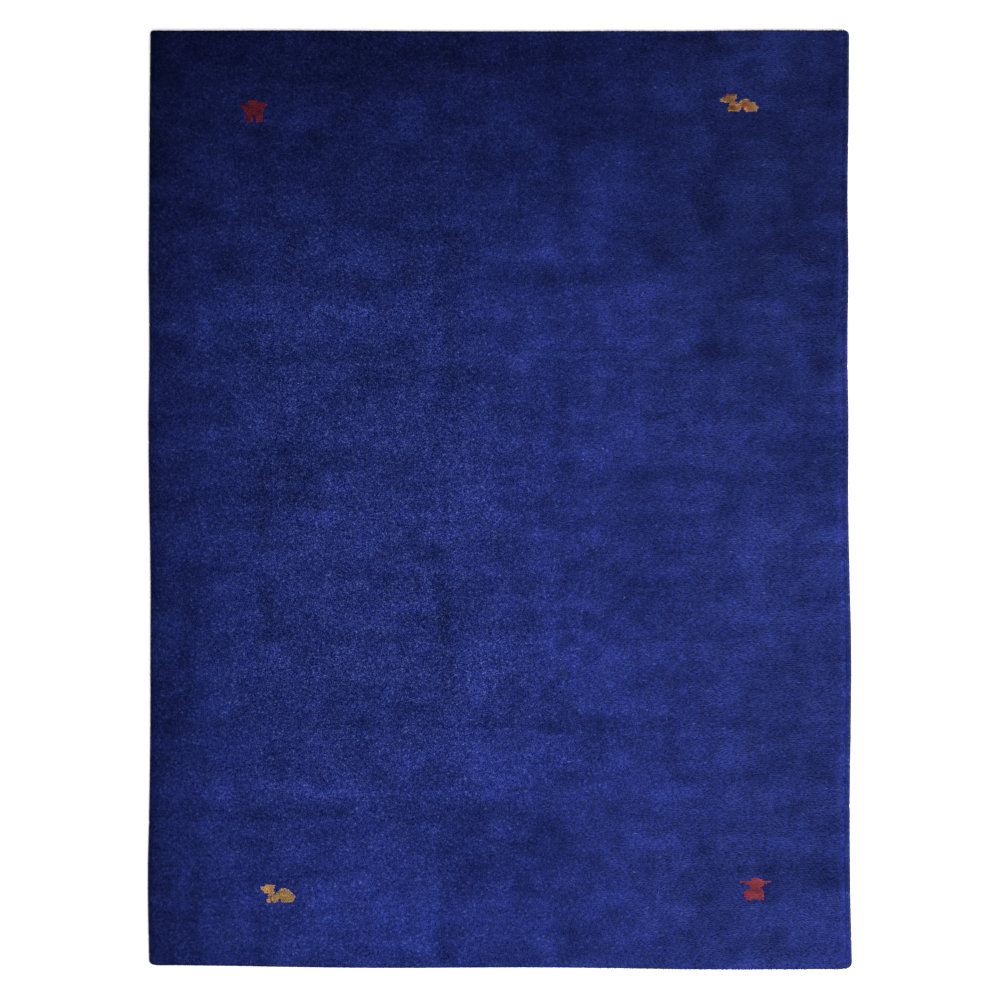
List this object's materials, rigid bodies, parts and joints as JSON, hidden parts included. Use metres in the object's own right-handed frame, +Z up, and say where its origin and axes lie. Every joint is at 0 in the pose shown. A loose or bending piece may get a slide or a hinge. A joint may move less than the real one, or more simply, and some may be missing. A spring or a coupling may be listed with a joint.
{
  "type": "hand-knotted rug",
  "caption": "Flat rectangular wool rug with a plain deep blue knotted pile, small folk motifs near its corners, overcast long sides and plain ends.",
  "frame": {"origin": "on the floor under the middle of the rug", "axes": "+Z up through the pile, +Y along the length towards the picture's top edge, +X across to the picture's right side"},
  "size_m": [1.8356, 2.4476, 0.014],
  "materials": {
    "wool_pile": "deep blue knotted wool pile with uneven dyeing, dull with a faint sheen",
    "overcast_wool": "dark blue wool yarn wrapped closely round the side cords, dull"
  },
  "bodies": {
    "root": {"pile_field": "wool_pile", "selvedge_left": "overcast_wool", "selvedge_right": "overcast_wool"}
  },
  "joints": []
}
